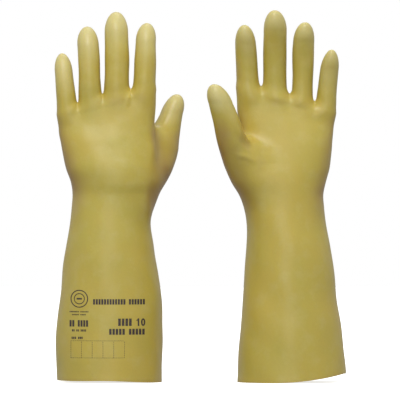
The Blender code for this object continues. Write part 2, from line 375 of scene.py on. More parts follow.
class Grower:
    """Grows a skin over the zero surface of a form, on a grid of cubes."""

    def __init__(
        self, form: Callable[..., np.ndarray], low: np.ndarray, high: np.ndarray, step: float
    ):
        """Lays the grid, whose levels fall half a step off the ground.

        Args:
            form: Gives a distance for arrays of U, V and Z.
            low: Lowest corner of the space to search.
            high: Highest corner.
            step: The cubes' size.
        """
        self.form = form
        self.step = step
        counts = np.ceil((high - low) / step).astype(int) + 1
        self.axes = [low[i] + step * np.arange(counts[i]) for i in range(3)]

    def grow(self) -> Skin:
        """Finds the cubes that the surface crosses and joins them with quads.

        Returns:
            The skin, still without normals.
        """
        u, v, z = self.axes
        values = self.form(u[:, None, None], v[None, :, None], z[None, None, :])
        inside = values < 0.0
        full = np.zeros([n - 1 for n in values.shape], int)
        corners = [(i, j, k) for i in (0, 1) for j in (0, 1) for k in (0, 1)]
        for corner in corners:
            full += self.corner(inside, corner)
        crossed = (full > 0) & (full < 8)
        number = np.full(crossed.shape, -1)
        number[crossed] = np.arange(crossed.sum())
        skin = Skin(self.points(values, crossed), self.quads(inside, number))
        self.settle(skin, 3)
        return skin

    @staticmethod
    def corner(grid: np.ndarray, corner: Sequence[int]) -> np.ndarray:
        """The grid's values at one corner of every cube.

        Args:
            grid: A value at each point of the grid.
            corner: 0 or 1 along each axis.

        Returns:
            A value for each cube.
        """
        i, j, k = corner
        a, b, c = grid.shape
        return grid[i : a - 1 + i, j : b - 1 + j, k : c - 1 + k]

    def points(self, values: np.ndarray, crossed: np.ndarray) -> np.ndarray:
        """One point in each crossed cube: the middle of where the surface cuts its edges.

        Args:
            values: The form's distance at each point of the grid.
            crossed: Whether the surface crosses each cube.

        Returns:
            The points, in the order of the crossed cubes.
        """
        total = np.zeros((int(crossed.sum()), 3))
        count = np.zeros(len(total))
        for axis in range(3):
            others = [i for i in range(3) if i != axis]
            for side in ((0, 0), (0, 1), (1, 0), (1, 1)):
                start, end = [0, 0, 0], [0, 0, 0]
                for other, choice in zip(others, side):
                    start[other] = end[other] = choice
                end[axis] = 1
                low = self.corner(values, start)[crossed]
                high = self.corner(values, end)[crossed]
                cut = (low < 0.0) != (high < 0.0)
                share = np.where(cut, low / np.where(cut, low - high, 1.0), 0.0)
                place = np.tile(np.array(start, float), (len(total), 1))
                place[:, axis] = share
                total += np.where(cut[:, None], place, 0.0)
                count += cut
        cell = np.argwhere(crossed)
        base = np.stack([self.axes[i][cell[:, i]] for i in range(3)], axis=1)
        return base + self.step * total / count[:, None]

    @staticmethod
    def quads(inside: np.ndarray, number: np.ndarray) -> np.ndarray:
        """A quad through the four cubes round each grid edge that the surface cuts.

        Args:
            inside: Whether each point of the grid lies inside the form.
            number: The number of each cube's point.

        Returns:
            The quads, facing outward.
        """
        found = []
        for axis in range(3):
            first, second = (axis + 1) % 3, (axis + 2) % 3
            low = np.take(inside, range(inside.shape[axis] - 1), axis)
            high = np.take(inside, range(1, inside.shape[axis]), axis)
            cut = np.argwhere(low != high)
            limits = np.array(number.shape)
            good = (cut[:, first] > 0) & (cut[:, second] > 0)
            good &= (cut[:, first] < limits[first]) & (cut[:, second] < limits[second])
            cut = cut[good]
            ring = []
            for back_first, back_second in ((1, 1), (0, 1), (0, 0), (1, 0)):
                cell = cut.copy()
                cell[:, first] -= back_first
                cell[:, second] -= back_second
                ring.append(number[tuple(cell.T)])
            ring = np.stack(ring, axis=1)
            outward = low[tuple(cut.T)]
            ring[~outward] = ring[~outward][:, ::-1]
            found.append(ring)
        return np.concatenate(found)

    def settle(self, skin: Skin, rounds: int) -> None:
        """Moves each point straight onto the surface.

        Args:
            skin: The skin to move.
            rounds: How many times.
        """
        nudge = self.step * 0.05
        for _ in range(rounds):
            u, v, z = skin.points.T
            value = self.form(u, v, z)
            slope = np.stack(
                [
                    (self.form(u + nudge, v, z) - self.form(u - nudge, v, z)),
                    (self.form(u, v + nudge, z) - self.form(u, v - nudge, z)),
                    (self.form(u, v, z + nudge) - self.form(u, v, z - nudge)),
                ],
                axis=1,
            ) / (2.0 * nudge)
            steep = np.maximum((slope**2).sum(axis=1), 0.05)
            move = slope * (value / steep)[:, None]
            far = np.maximum(np.linalg.norm(move, axis=1) / self.step, 1.0)
            skin.points = skin.points - move / far[:, None]


# --- Reading the rigid model ---


class Facing(Enum):
    """Which side of a glove is turned to the front."""

    BACK = 1.0
    PALM = -1.0


@dataclass
class Pattern:
    """The rigid model of one glove, read in the glove's own frame.

    U runs towards the thumb, V out of the palm and Z up from the rim.
    """

    name: str
    facing: Facing

    def __post_init__(self) -> None:
        """Finds the middle of the rim, about which the glove is turned."""
        self.turn = np.array([self.facing.value, self.facing.value, 1.0])
        self.middle = np.zeros(3)
        low, high = self.outline("gauntlet", MM)
        self.middle[0] = (low[0] + high[0]) / 2.0 * self.facing.value

    def node(self, piece: str) -> str:
        """The full name of one of the glove's nodes."""
        return f"{self.name}_{piece}"

    def inward(self, places: np.ndarray) -> np.ndarray:
        """Takes places from the world's frame to the glove's."""
        return (places - self.middle) * self.turn

    def outward(self, places: np.ndarray) -> np.ndarray:
        """Takes places from the glove's frame to the world's."""
        return places * self.turn + self.middle

    def turned(self, ways: np.ndarray) -> np.ndarray:
        """Takes directions from either frame to the other."""
        return ways * self.turn

    def heights(self, piece: str) -> tuple[float, float]:
        """The lowest and highest level of one of the nodes."""
        low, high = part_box(self.node(piece))
        return low.z, high.z

    def corners(self, piece: str) -> np.ndarray:
        """The corners of a node."""
        mesh = frame["nodes"][self.node(piece)].data
        return self.inward(np.array([v.co for v in mesh.vertices], float))

    def outline(self, piece: str, height: float, back_only: bool = False) -> list[np.ndarray]:
        """The extents of a level cut through a node.

        Args:
            piece: The node, without the glove's name.
            height: Level of the cut.
            back_only: Whether to leave out the palm's side, with the thumb.

        Returns:
            The least and the greatest U and V of the cut.
        """
        edges = np.array([e.vertices[:] for e in frame["nodes"][self.node(piece)].data.edges])
        low, high = (self.corners(piece)[edges[:, end]] for end in (0, 1))
        cut = (low[:, 2] < height) != (high[:, 2] < height)
        low, high = low[cut], high[cut]
        share = (height - low[:, 2]) / (high[:, 2] - low[:, 2])
        places = (low + (high - low) * share[:, None])[:, :2]
        if back_only:
            places = places[places[:, 1] < 0.0]
        return [places.min(axis=0), places.max(axis=0)]

    def apex(self, piece: str) -> np.ndarray:
        """The highest point of a node."""
        return max(self.corners(piece), key=lambda corner: corner[2])

    def pivot(self, joint: str) -> np.ndarray:
        """The point that a joint turns about."""
        found = next(j for j in frame["joints"] if j["name"] == f"{self.name}_{joint}")
        return self.inward(np.array(found["pos_m"], float))


@dataclass(frozen=True)
class Digit:
    """A finger or the thumb, and where its skin is divided and bends."""

    name: str
    limb: Limb
    root_joint: str
    root: np.ndarray
    middle: np.ndarray
    way: np.ndarray
    root_reach: float
    middle_reach: float

    def past_root(self, places: np.ndarray) -> np.ndarray:
        """How far places lie beyond the start of the bend at the root."""
        return (places - self.root) @ self.way + self.root_reach

    def past_split(self, places: np.ndarray) -> np.ndarray:
        """How far places lie beyond the line between the lower piece and the tip piece.

        Args:
            places: Points in the glove's frame.

        Returns:
            The distance along the digit, in metres.
        """
        root_end = self.root @ self.way + self.root_reach
        middle_start = self.middle @ self.way - self.middle_reach
        return places @ self.way - (root_end + middle_start) / 2.0


# --- Shader nodes ---


class Wire:
    """A number on its way between two nodes, on which Python's operators work."""

    def __init__(self, tree: "Tree", socket: bpy.types.NodeSocket):
        """Wraps an output socket of a tree."""
        self.tree = tree
        self.socket = socket

    def __add__(self, other: Any) -> "Wire":
        """Adds a number or a wire."""
        return self.tree.maths("ADD", self, other)

    __radd__ = __add__

    def __mul__(self, other: Any) -> "Wire":
        """Multiplies by a number or a wire."""
        return self.tree.maths("MULTIPLY", self, other)

    __rmul__ = __mul__

    def __sub__(self, other: Any) -> "Wire":
        """Takes a number or a wire away."""
        return self.tree.maths("SUBTRACT", self, other)

    def __rsub__(self, other: Any) -> "Wire":
        """Takes this wire away from a number."""
        return self.tree.maths("SUBTRACT", other, self)


class Tree:
    """The node tree of one material, with the few ways of filling it that the finishes use."""

    def __init__(self, name: str):
        """Makes an empty material with a Principled shader.

        Args:
            name: The material's name.
        """
        self.material = bpy.data.materials.new(name)
        self.material.use_nodes = True
        self.nodes = self.material.node_tree.nodes
        self.links = self.material.node_tree.links
        self.shader = self.nodes["Principled BSDF"]

    def node(self, kind: str, settings: dict[str, Any], sockets: dict[Any, Any]) -> bpy.types.Node:
        """Adds a node.

        Args:
            kind: The node's type, such as ShaderNodeMix.
            settings: Its properties, set before anything else.
            sockets: Values or wires for its inputs, by name or number.

        Returns:
            The new node.
        """
        made = self.nodes.new(kind)
        for key, value in settings.items():
            setattr(made, key, value)
        for key, value in sockets.items():
            self.feed(made.inputs[key], value)
        return made

    def feed(self, socket: bpy.types.NodeSocket, value: Any) -> None:
        """Links a wire or a socket into an input, or sets its value.

        Args:
            socket: The input.
            value: The wire, the socket or the constant.
        """
        if isinstance(value, Wire):
            self.links.new(value.socket, socket)
        elif isinstance(value, bpy.types.NodeSocket):
            self.links.new(value, socket)
        else:
            socket.default_value = value

    def maths(self, operation: str, first: Any, second: Any) -> Wire:
        """One step of arithmetic."""
        made = self.node("ShaderNodeMath", {"operation": operation}, {0: first, 1: second})
        return Wire(self, made.outputs[0])

    def attribute(self, name: str) -> bpy.types.Node:
        """Reads what the mesh holds at each point."""
        return self.node("ShaderNodeAttribute", {"attribute_name": name}, {})

    def noise(self, place: bpy.types.NodeSocket, size: float, detail: float = 2.0) -> Wire:
        """Cloudy noise whose blots are about size metres across.

        Args:
            place: The coordinates to read it at.
            size: How large the blots are.
            detail: How many finer layers it has.

        Returns:
            The noise, from 0 to 1.
        """
        sockets = {"Vector": place, "Scale": 1.0 / size, "Detail": detail, "Roughness": 0.55}
        made = self.node("ShaderNodeTexNoise", {}, sockets)
        return Wire(self, made.outputs["Fac"])

    def spread(self, value: Wire, low: float, high: float) -> Wire:
        """Stretches a number so that low becomes 0 and high becomes 1.

        Args:
            value: The number.
            low: What becomes 0.
            high: What becomes 1.

        Returns:
            The new number, kept between 0 and 1.
        """
        sockets = {"Value": value, "From Min": low, "From Max": high}
        made = self.node("ShaderNodeMapRange", {"clamp": True}, sockets)
        return Wire(self, made.outputs["Result"])

    def mix(self, share: Any, first: Any, second: Any) -> bpy.types.NodeSocket:
        """Mixes two colours by a share."""
        sockets = {0: share, 6: first, 7: second}
        return self.node("ShaderNodeMix", {"data_type": "RGBA"}, sockets).outputs[2]

    def bump(self, height: Wire, depth: float, before: Any = None) -> bpy.types.NodeSocket:
        """Turns a height from 0 to 1 into a bumpy normal, depth metres deep.

        Args:
            height: The height.
            depth: How deep it is.
            before: A normal that the bumps are added to.

        Returns:
            The bumpy normal.
        """
        sockets = {"Height": height, "Distance": depth, "Strength": 1.0}
        if before is not None:
            sockets["Normal"] = before
        return self.node("ShaderNodeBump", {}, sockets).outputs["Normal"]

    def set(self, **values: Any) -> None:
        """Feeds the shader's inputs; an underscore stands for a space."""
        for key, value in values.items():
            self.feed(self.shader.inputs[key.replace("_", " ")], value)


Colour = tuple[float, float, float, float]


@dataclass(frozen=True)
class RubberFinish:
    """Natural rubber: a cloudy yellow, olive where thin, with dark grain, painted shade in brown in
    the creases, webs, sides and undersides, browner along the rim, and a painted highlight in the
    pale colour near the fingertips.
    """

    name: str
    body: Colour
    olive: Colour
    # pale: random pale blots, and the painted highlight near the fingertips
    pale: Colour
    # brown: dark grain, and the painted shade
    brown: Colour
    roughness: float

    def material(self) -> bpy.types.Material:
        """Builds the rubber's material.

        Returns:
            The material.
        """
        tree = Tree(self.name)
        place = tree.attribute("rest_place").outputs["Vector"]
        # painted shade and painted highlight, carried on the skin's points
        tone = Wire(tree, tree.attribute("tone").outputs["Fac"])
        clouds = tree.noise(place, 0.055, 3.0)
        blots = tree.noise(place, 0.014, 4.0)
        grain = tree.noise(place, 0.0016, 3.0)
        colour = tree.mix(tree.spread(clouds, 0.35, 0.70), self.body, self.olive)
        colour = tree.mix(tree.spread(blots, 0.48, 0.74) * 0.20, colour, self.pale)
        # painted highlight: paler where the painted shading falls below zero, near the fingertips
        colour = tree.mix(tree.spread(tone * -1.0, 0.0, 1.0), colour, self.pale)
        colour = tree.mix(tree.spread(grain, 0.40, 0.75) * 0.10, colour, self.brown)
        # painted shade: browner where the painted shading rises above zero, in the crease, webs,
        # sides, undersides and shaded patches, and along the rim; the blots vary it a little
        colour = tree.mix(tree.spread(tone + (blots - 0.5) * 0.25, 0.04, 1.0), colour, self.brown)
        rough = self.roughness + (blots - 0.5) * 0.10 + (grain - 0.5) * 0.06
        ripples = tree.bump(tree.noise(place, 0.009, 2.0), 0.00018)
        normal = tree.bump(grain, 0.00003, ripples)
        tree.set(Base_Color=colour, Roughness=rough, Normal=normal)
        tree.set(Subsurface_Weight=0.18, Subsurface_Scale=0.006)
        tree.set(Subsurface_Radius=(0.9, 0.55, 0.14))
        tree.set(Coat_Weight=0.22, Coat_Roughness=0.30, Specular_IOR_Level=0.42)
        return tree.material


@dataclass(frozen=True)
class InkFinish:
    """Matt ink that has sunk a little into the rubber, thin in places."""

    name: str
    ink: Colour
    worn: Colour
    wear: float

    def material(self) -> bpy.types.Material:
        """Builds the ink's material.

        Returns:
            The material.
        """
        tree = Tree(self.name)
        place = tree.attribute("rest_place").outputs["Vector"]
        thin = tree.spread(tree.noise(place, 0.0012, 4.0), 0.42, 0.72) * self.wear
        tree.set(Base_Color=tree.mix(thin, self.ink, self.worn), Roughness=0.55 + thin * 0.2)
        return tree.material


@dataclass(frozen=True)
class PaperFinish:
    """The studio's seamless paper, very slightly uneven."""

    name: str
    white: Colour
    shade: Colour
    glow: float

    def material(self) -> bpy.types.Material:
        """Builds the paper's material.

        Returns:
            The material.
        """
        tree = Tree(self.name)
        place = tree.node("ShaderNodeTexCoord", {}, {}).outputs["Object"]
        cloud = tree.spread(tree.noise(place, 0.6, 2.0), 0.3, 0.7)
        tree.set(Base_Color=tree.mix(cloud, self.white, self.shade), Roughness=0.9)
        tree.set(Emission_Color=self.white, Emission_Strength=self.glow)
        return tree.material


RUBBER = RubberFinish(
    "natural_rubber",
    body=(0.600, 0.455, 0.080, 1.0),
    olive=(0.540, 0.440, 0.078, 1.0),
    pale=(0.720, 0.620, 0.270, 1.0),
    brown=(0.400, 0.235, 0.075, 1.0),
    roughness=0.40,
)
LINING = RubberFinish(
    "rubber_inside",
    body=(0.600, 0.500, 0.170, 1.0),
    olive=(0.540, 0.460, 0.150, 1.0),
    pale=(0.700, 0.620, 0.330, 1.0),
    brown=(0.400, 0.260, 0.090, 1.0),
    roughness=0.62,
)
INK = InkFinish("dark_ink", (0.030, 0.018, 0.030, 1.0), (0.200, 0.150, 0.060, 1.0), 0.55)
FAINT_INK = InkFinish("faint_ink", (0.085, 0.055, 0.035, 1.0), (0.330, 0.260, 0.090, 1.0), 0.9)
PAPER = PaperFinish("seamless_paper", (0.93, 0.93, 0.92, 1.0), (0.90, 0.90, 0.895, 1.0), 0.80)


@cache
def dressed(finish: Any) -> bpy.types.Material:
    """A finish's material, built once and shared by the pieces that wear it."""
    return finish.material()


# --- The gloves ---


@dataclass(frozen=True)
class Rim:
    """How the cut edge of a cuff strays from level, in millimetres.

    The edge rises by wave at the middle of the front and the back, and by slant from the place
    across the glove where the slant starts to where it ends.
    """

    wave: float
    slant: float
    slant_from: float
    slant_to: float
    fades_over: float = 45.0
    bow: float = 2.2  # how late the slant sets in

    def rise(self, places: np.ndarray) -> np.ndarray:
        """How far the rim lifts the skin at some places, in metres; nothing far above the rim.

        Args:
            places: Points on the skin, in the glove's frame.

        Returns:
            The lift at each place.
        """
        u = places[:, 0] / MM
        hump = self.wave * np.exp(-((u / 30.0) ** 2))
        share = np.clip((u - self.slant_from) / (self.slant_to - self.slant_from), 0.0, 1.2)
        fade = 1.0 - smooth_steps(places[:, 2] / MM, 0.0, self.fades_over)
        return (hump + self.slant * share**self.bow) * fade * MM


@dataclass(frozen=True)
class Trim:
    """How much slimmer a finger's root is than the rigid model's, in millimetres, side by side."""

    digit: str
    thumb_side: float
    little_side: float


@dataclass
class Glove:
    """One glove: its form, the skin grown over it, and the pieces that the skin is divided into.

    The sizes are in millimetres, in the glove's own frame: U towards the thumb, V out of the palm
    and Z up from the rim.
    """

    name: str
    facing: Facing
    rim: Rim
    unevenness: Unevenness
    creases: tuple[Crease, ...]
    pads: tuple[Pad, ...]
    thumb_root: tuple[tuple[float, float, float, float], ...]  # Z, U, V and the half thickness
    thumb_fillet: float
    thenar_rows: tuple[tuple[float, ...], ...]  # the thumb's mound: Z, U, V, half width and depth
    trims: tuple[Trim, ...]
    hand_depths: tuple[tuple[float, float], ...]  # Z, and the hand's half depth there
    # patches of painted shade, where the light falls off the hand
    shaded_patches: tuple[ShadePatch, ...]

    wall: float = 1.0
    mesh_step: float = 1.6
    quick_step: float = 3.2
    web: float = 1.3  # how softly one finger runs into the next
    knuckle_fillet: float = 9.0
    palm_square: float = 2.55  # how squarely rounded the palm is; 2 is an ellipse
    palm_top: float = 277.5
    palm_dome: float = 9.0
    palm_lean: float = 0.27  # how fast the palm's top climbs towards the thumb
    heel: float = 1.6  # how much fuller the little finger's side is, above the wrist
    knuckle_waist: float = 3.0  # and how much slimmer, below the little finger
    narrows: float = 1.5  # how much slimmer the palm is than the rigid model's, at its top
    narrows_from: float = 235.0
    thenar_fillet: float = 22.0
    thenar_dome: float = 13.0
    thenar_root: float = 12.0
    thumb_turn: tuple[float, float, float] = (0.30, 0.25, 0.0)  # of its borders, off its length
    fingertip_dome: float = 18.0
    trim_reach: float = 42.0  # how far up a finger its trim fades out
    wrist_reach: float = 20.0  # half the height over which the wrist's skin bends
    bend_margin: float = 2.5  # how far a digit's bend runs past the rigid model's band

    def __post_init__(self) -> None:
        """Reads the rigid model and sets up the limbs."""
        self.pattern = Pattern(self.name, self.facing)
        self.arm = self.make_arm()
        names = ("index", "middle", "ring", "little")
        self.fingers = [self.make_digit(name, "knuckle") for name in names]
        self.thumb = self.make_digit("thumb", "base")
        self.digits = [*self.fingers, self.thumb]
        rows = [(z, u, v, width, depth, 2.0) for z, u, v, width, depth in self.thenar_rows]
        rows = np.array(rows) * ([MM] * 5 + [1.0])
        self.thenar = Limb(rows, self.thenar_dome * MM, root_round=self.thenar_root * MM)

    # The form

    def make_arm(self) -> Limb:
        """The cuff, the wrist and the palm, read from the rigid model's cuts.

        Returns:
            The limb, without its fingers.
        """
        read = self.pattern
        wrist = read.pivot("wrist")[2]
        low, high = read.heights("gauntlet")
        levels = [("gauntlet", z) for z in np.linspace(low + MM, high - MM, 7)]
        levels.append(("wrist_flex", wrist))
        low = read.heights("palm")[0] + MM
        top = self.palm_top * MM
        crown = top - self.palm_dome * MM
        levels += [("palm", z) for z in np.linspace(low, crown, 8)]
        rows = []
        stations, depths = np.array(self.hand_depths).T * MM
        for piece, z in levels:
            least, most = read.outline(piece, float(z), back_only=True)
            height = np.array(float(z))
            square = 2.0 + (self.palm_square - 2.0) * smooth_steps(height, wrist, crown)
            taper = smooth_steps(height, self.narrows_from * MM, top)
            heel = np.exp(-(((z - 201.0 * MM) / (9.0 * MM)) ** 2)) * self.heel
            waist = np.exp(-(((z - 263.0 * MM) / (16.0 * MM)) ** 2)) * self.knuckle_waist
            least[0] += (self.narrows * taper - heel + waist) * MM
            most[0] -= self.narrows * MM * taper
            width = (most[0] - least[0]) / 2.0
            share = smooth_steps(height, stations[0] - 40.0 * MM, stations[0])
            depth = share * through(stations, depths, height) - (1.0 - share) * least[1]
            rows.append((z, (most[0] + least[0]) / 2.0, 0.0, width, depth, square))
        dome = self.palm_dome * MM
        return Limb(np.array(rows, float), dome, lean=self.palm_lean)

    def make_digit(self, name: str, root_joint: str) -> Digit:
        """A finger or the thumb, read from the rigid model beyond the palm.

        Args:
            name: The digit.
            root_joint: The joint where it leaves the palm.

        Returns:
            The digit, with its limb and its bends.
        """
        read = self.pattern
        dome = self.fingertip_dome * MM
        top = read.apex(f"{name}_tip")
        rows_from = read.heights(f"{name}_{root_joint}_flex")[0]
        rows: list[tuple[float, ...]] = []
        for piece in (f"{root_joint}_flex", "lower", "joint_flex", "tip"):
            low, high = read.heights(f"{name}_{piece}")
            high = min(high, top[2] - dome)
            if high < low + MM:
                continue
            for z in (low + 0.2 * (high - low), high - 0.2 * (high - low)):
                least, most = read.outline(f"{name}_{piece}", z)
                for trim in (t for t in self.trims if t.digit == name):
                    faded = smooth_steps(np.array(z), rows_from, rows_from + self.trim_reach * MM)
                    least[0] += trim.little_side * MM * (1.0 - faded)
                    most[0] -= trim.thumb_side * MM * (1.0 - faded)
                middle, half = (least + most) / 2.0, (most - least) / 2.0
                rows.append((z, *middle, half[0], half[1] * 1.02, 2.0))
        rows = self.root_rows(name, rows[0]) + rows
        shift = top[:2] - np.array(rows[-1][1:3])
        limb = Limb(np.array(rows), top[2] - rows[-1][0], tuple(shift), rows[0][3])
        root, middle = read.pivot(f"{name}_{root_joint}"), read.pivot(f"{name}_joint")
        way = (middle - root) / np.linalg.norm(middle - root)
        reach = [
            (read.heights(f"{name}_{band}_flex")[1] - read.heights(f"{name}_{band}_flex")[0]) / 2
            for band in (root_joint, "joint")
        ]
        if name == "thumb":
            way = way + np.array(self.thumb_turn)
            way /= np.linalg.norm(way)
        reach[1] += self.bend_margin * MM
        return Digit(name, limb, root_joint, root, middle, way, *reach)

    def root_rows(self, name: str, first: tuple[float, ...]) -> list[tuple[float, ...]]:
        """How a digit's limb runs on inside the palm, below its first section.

        Args:
            name: The digit.
            first: Its first section beyond the palm.

        Returns:
            The sections below that, from the lowest up.
        """
        if name == "thumb":
            rows = [np.array((z, u, v, half, half)) * MM for z, u, v, half in self.thumb_root]
            return [(*row, 2.0) for row in rows]
        z, u, v, width, depth, square = first
        drawn_in = (0.80, 0.97) if name == "index" else (0.72, 0.88)
        return [
            (z - 48.0 * MM, u * drawn_in[0], 0.0, width * 0.60, depth * 0.50, square),
            (z - 30.0 * MM, u * drawn_in[1], 0.0, width * 0.92, depth * 0.72, square),
            (z - 11.0 * MM, u * 0.985, v, width * 1.02, depth * 1.02, square),
        ]

    def distance(self, u: np.ndarray, v: np.ndarray, z: np.ndarray) -> np.ndarray:
        """How far points lie outside the whole glove.

        Args:
            u: Places across the glove, towards the thumb.
            v: Places out of the palm.
            z: Heights above the rim.

        Returns:
            The distances; negative inside.
        """
        fingers = self.fingers[0].limb.distance(u, v, z)
        for finger in self.fingers[1:]:
            fingers = merge(fingers, finger.limb.distance(u, v, z), self.web * MM)
        hand = merge(self.arm.distance(u, v, z), fingers, self.knuckle_fillet * MM)
        hand = merge(hand, self.thenar.distance(u, v, z), self.thenar_fillet * MM)
        return merge(hand, self.thumb.limb.distance(u, v, z), self.thumb_fillet * MM)

    # The skin

    def lift(self, places: np.ndarray, normals: np.ndarray) -> np.ndarray:
        """How far the creases, pads and unevenness lift the skin.

        Args:
            places: Points on the skin, in the glove's frame.
            normals: The skin's normals there.

        Returns:
            The lift along the normal, in metres.
        """
        total = self.unevenness.raise_by(places)
        for mark in (*self.creases, *self.pads):
            total = total + mark.raise_by(places, normals)
        return total

    def grow(self) -> Skin:
        """Grows the glove's skin, in the glove's frame, with its rim cut.

        Returns:
            The skin, with its normals.
        """
        step = self.mesh_step * MM
        halves = self.arm.sections[:, 3:5]
        middles = [digit.limb.sections[:, 1:3] for digit in self.digits]
        reached = np.concatenate([*middles, halves, -halves])
        top = max(digit.limb.top for digit in self.digits)
        room = 17.0 * MM
        low = np.array([*reached.min(axis=0) - room, -2.5 * step])
        high = np.array([*reached.max(axis=0) + room, top + room])
        grower = Grower(self.distance, low, high, step)
        skin = grower.grow()
        skin.keep((skin.points[skin.quads][:, :, 2] > -0.4 * step).all(axis=1))
        edge = skin.points[:, 2] < 0.4 * step
        for _ in range(2):
            skin.even_out(2, edge)
            grower.settle(skin, 2)
            skin.points[edge, 2] = 0.0
        skin.find_normals()
        skin.lift(self.lift(skin.points, skin.normals))
        skin.points[edge, 2] = 0.0
        return skin

    def tone(self, skin: Skin) -> np.ndarray:
        """How much painted shade and painted highlight the rubber has at each point: browner in the
        thumb's crease, the webs, on the sides, on the undersides and in the shaded patches, browner
        along the rim, and paler near the fingertips as a painted highlight.

        Args:
            skin: The glove's skin.

        Returns:
            A number for each point, from -1 for the palest to 1 for the brownest.
        """
        u, v, z = skin.points.T
        limbs = [digit.limb.distance(u, v, z) for digit in self.digits]
        arm = self.arm.distance(u, v, z)
        fingers = np.minimum.reduce(limbs[:-1])
        # painted shade in the crease where the thumb meets the palm
        fold = np.exp(-(((limbs[-1] - arm) / (7.0 * MM)) ** 2)) * smooth_steps(-arm, -12 * MM, 0.0)
        fold = fold * smooth_steps(z, 0.190, 0.215)
        # painted shade where the fingers meet the palm
        web = np.exp(-(np.abs(fingers - arm) / (4.0 * MM)) ** 2) * 0.10
        hand = smooth_steps(z, 0.140, 0.190) * (1.0 - smooth_steps(z, 0.235, 0.275))
        # painted shade on the sides, where the light falls off, strongest on the hand
        side = smooth_steps(np.abs(skin.normals[:, 0]), 0.35, 1.0) * (0.08 + 0.38 * hand)
        # painted shade on the faces turned down
        under = smooth_steps(-skin.normals[:, 2], 0.02, 0.7) * 0.4
        # browner along the cut rim
        rim = np.exp(-((z / (1.6 * MM)) ** 2)) * 0.35
        # patches of painted shade
        shaded_patches = sum(shaded_patch.tone(skin.points, skin.normals) for shaded_patch in self.shaded_patches)
        # painted highlight: paler towards the top of each digit
        pale = np.zeros(len(z))
        for digit, limb in zip(self.digits, limbs):
            near = np.exp(-((limb / (3.0 * MM)) ** 2))
            top = digit.limb.top
            pale = np.maximum(pale, near * smooth_steps(z, top - 50.0 * MM, top - 4.0 * MM))
        return np.clip(0.35 * fold + web + side + under + rim + shaded_patches - 0.75 * pale, -1.0, 1.0)

    # The pieces

    def build(self) -> None:
        """Grows the skin, divides it into pieces and fits each to the rigid model."""
        skin = self.grow()
        # painted shade and painted highlight for the rubber's colour
        tone = self.tone(skin)
        rest = self.pattern.outward(skin.points)
        middles = skin.middles()
        u, v, z = middles.T
        wrist = self.pattern.pivot("wrist")
        wrist_start = wrist[2] - self.wrist_reach * MM
        belongs = np.where(z < wrist_start, 0, 1)
        nearness = np.stack([digit.limb.distance(u, v, z) for digit in self.digits])
        arm = self.arm.distance(u, v, z)
        for i, digit in enumerate(self.digits):
            mine = (nearness[i] <= nearness.min(axis=0) + 1e-9) & (nearness[i] < arm)
            mine &= digit.past_root(middles) > 0.0
            belongs = np.where(mine, 2 + 2 * i, belongs)
            belongs = np.where(mine & (digit.past_split(middles) > 0.0), 3 + 2 * i, belongs)
        skin.points[:, 2] += self.rim.rise(skin.points)
        skin.find_normals()
        skin.points = self.pattern.outward(skin.points)
        skin.normals = self.pattern.turned(skin.normals)
        self.skin = skin
        self.surface = BVHTree.FromPolygons(skin.points.tolist(), skin.quads.tolist())
        self.extras = {"tone": tone, "rest_place": rest}
        self.fit_cuff(belongs == 0)
        self.fit_hand(belongs == 1, wrist)
        for i, digit in enumerate(self.digits):
            self.fit_digit(digit, belongs == 2 + 2 * i, belongs == 3 + 2 * i)

    def piece(self, name: str, chosen: np.ndarray) -> bpy.types.Object:
        """A piece of the skin, as a closed shell of rubber.

        Args:
            name: The piece, without the glove's name.
            chosen: The quads that it takes.

        Returns:
            The new object, dressed in rubber.
        """
        shell = Shell(self.skin, chosen, self.wall * MM, self.extras)
        made = shell.object(f"{self.name}_{name}_skin", (RUBBER, LINING))
        LOG.info("%s: %d faces", made.name, len(made.data.polygons))
        return made

    def fit_cuff(self, chosen: np.ndarray) -> None:
        """The cuff below the wrist, which moves with the gauntlet.

        Args:
            chosen: Its quads.
        """
        cuff = self.piece("cuff", chosen)
        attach(cuff, self.name)
        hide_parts(self.pattern.node("gauntlet"))

    def fit_hand(self, chosen: np.ndarray, wrist: np.ndarray) -> None:
        """The wrist and the palm, as one piece in its place.

        Args:
            chosen: Its quads.
            wrist: The point that the wrist bends about.
        """
        hand = self.piece("hand", chosen)
        reach = np.array([0.0, 0.0, self.wrist_reach * MM])
        ends = [self.pattern.outward(wrist + reach * side) for side in (-1.0, 1.0)]
        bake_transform(hand)
        bands = [f"{digit.name}_{digit.root_joint}_flex" for digit in self.digits]
        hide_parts(*(self.pattern.node(piece) for piece in ("wrist_flex", "palm", *bands)))

    def fit_digit(self, digit: Digit, lower_part: np.ndarray, tip_part: np.ndarray) -> None:
        """The two pieces of a digit, divided between its two joints.

        Args:
            digit: The finger or the thumb.
            lower_part: The quads from the palm to the middle of the lower stretch.
            tip_part: The quads beyond.
        """
        margin = self.bend_margin * MM
        lower = self.piece(f"{digit.name}_lower", lower_part)
        start = digit.root - digit.way * digit.root_reach
        end = digit.root + digit.way * (digit.root_reach + margin)
        ends = [tuple(self.pattern.outward(place)) for place in (start, end)]
        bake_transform(lower)
        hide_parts(self.pattern.node(f"{digit.name}_lower"))
        tip = self.piece(f"{digit.name}_tip", tip_part)
        reach = digit.way * digit.middle_reach
        ends = [tuple(self.pattern.outward(digit.middle + reach * side)) for side in (-1.0, 1.0)]
        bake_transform(tip)
        bands = (f"{digit.name}_joint_flex", f"{digit.name}_tip")
        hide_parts(*(self.pattern.node(piece) for piece in bands))


